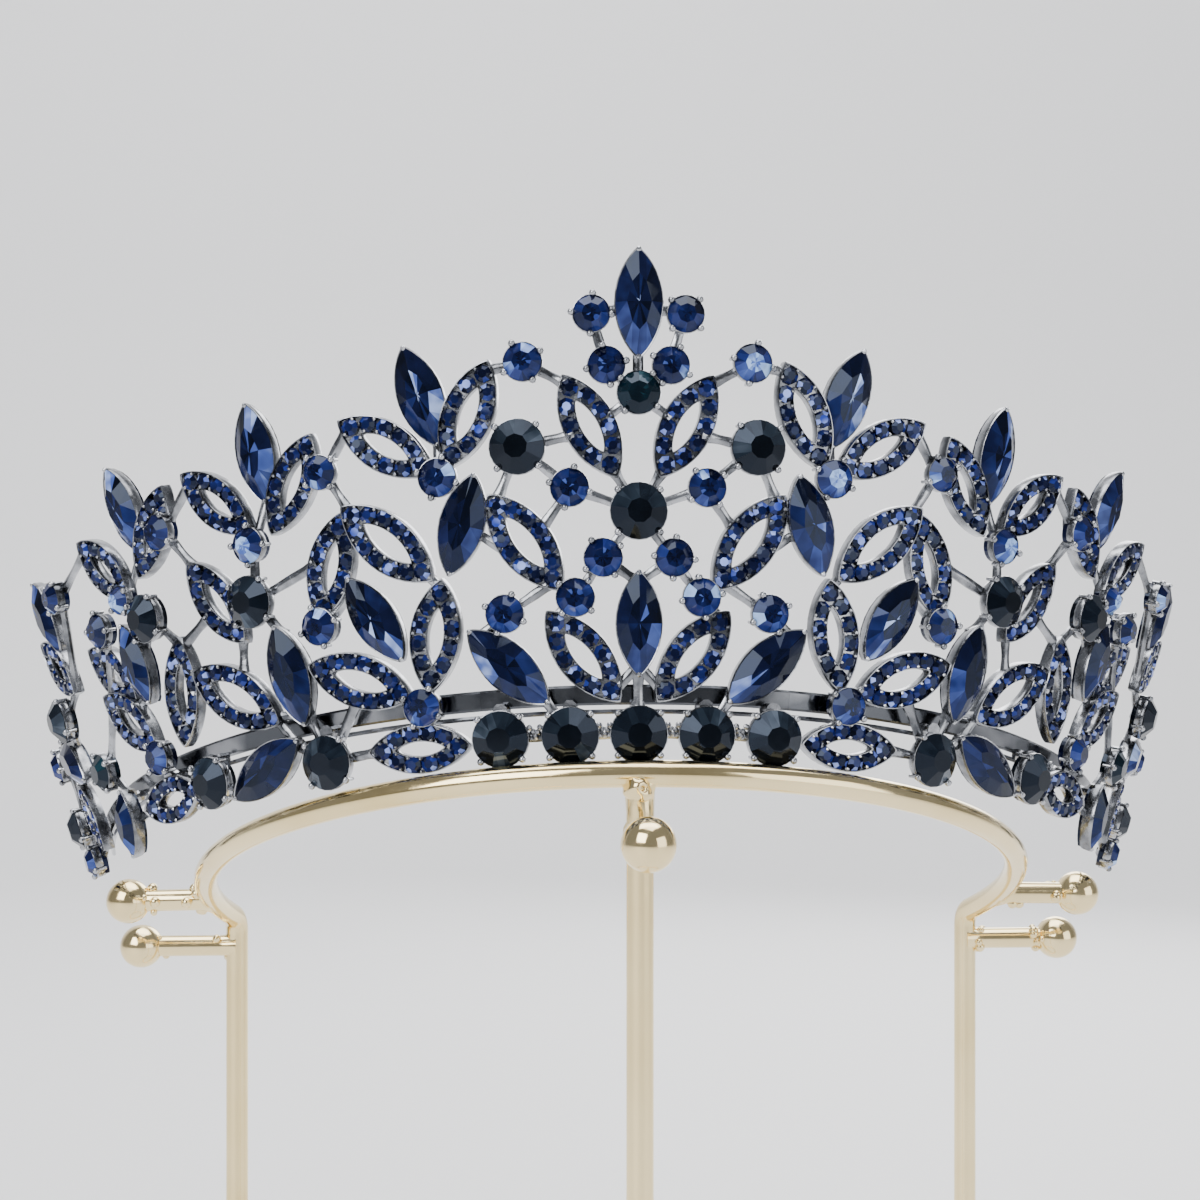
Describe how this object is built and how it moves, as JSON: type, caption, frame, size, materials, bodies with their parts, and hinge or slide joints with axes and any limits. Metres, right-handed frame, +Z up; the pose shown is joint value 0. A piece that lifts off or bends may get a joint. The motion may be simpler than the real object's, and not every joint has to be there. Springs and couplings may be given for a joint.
{
  "type": "crystal tiara on wire display stand",
  "caption": "Openwork crown of faceted blue and black stones and leaf shapes in dark cast metal, standing on a plain round-bar ring stand with ball-ended pegs.",
  "frame": {"origin": "middle of the bounding box in X and Y, on the floor under the base ring", "axes": "+Z up, front of the crown faces -Y, +X to the right seen from behind the object's front face"},
  "size_m": [0.1866, 0.147, 0.239],
  "materials": {
    "blue": "blue cut glass, foiled at the back, so opaque to the eye",
    "black": "jet-black cut glass, opaque",
    "teal": "dark teal cut glass, foiled at the back",
    "navette": "blue cut glass with long facets, foiled at the back",
    "gunmetal": "dark plated cast alloy, polished",
    "gold": "pale gold plated steel bar, polished"
  },
  "bodies": {
    "root": {"top_navette": "navette", "teal_round": "teal", "mid_black": "black", "mid_navette": "navette", "base_black": "black", "crest_round_l": "blue", "crest_round_r": "blue", "neck_round_l": "blue", "neck_round_r": "blue", "arch_round_l": "blue", "arch_round_r": "blue", "high_black_l": "black", "high_black_r": "black", "inner_round_l": "blue", "inner_round_r": "blue", "side_navette_l": "navette", "side_navette_r": "navette", "pair_round_l": "blue", "pair_round_r": "blue", "foot_round_l": "blue", "foot_round_r": "blue", "outer_round_l": "blue", "outer_round_r": "blue", "low_navette_l": "navette", "low_navette_r": "navette", "row_black_l": "black", "row_black_r": "black", "end_black_l": "black", "end_black_r": "black", "sprig_1_round_l": "blue", "sprig_1_round_r": "blue", "link_1_round_l": "blue", "link_1_round_r": "blue", "fan_black_l": "black", "fan_black_r": "black", "base_side_black_l": "black", "base_side_black_r": "black", "frame_centre": "gunmetal", "frame_wing_l": "gunmetal", "frame_wing_r": "gunmetal", "stand_rail": "gold", "stand_front_leg": "gold", "stand_rear_leg_l": "gold", "stand_rear_leg_r": "gold", "stand_base_ring": "gold"}
  },
  "joints": []
}
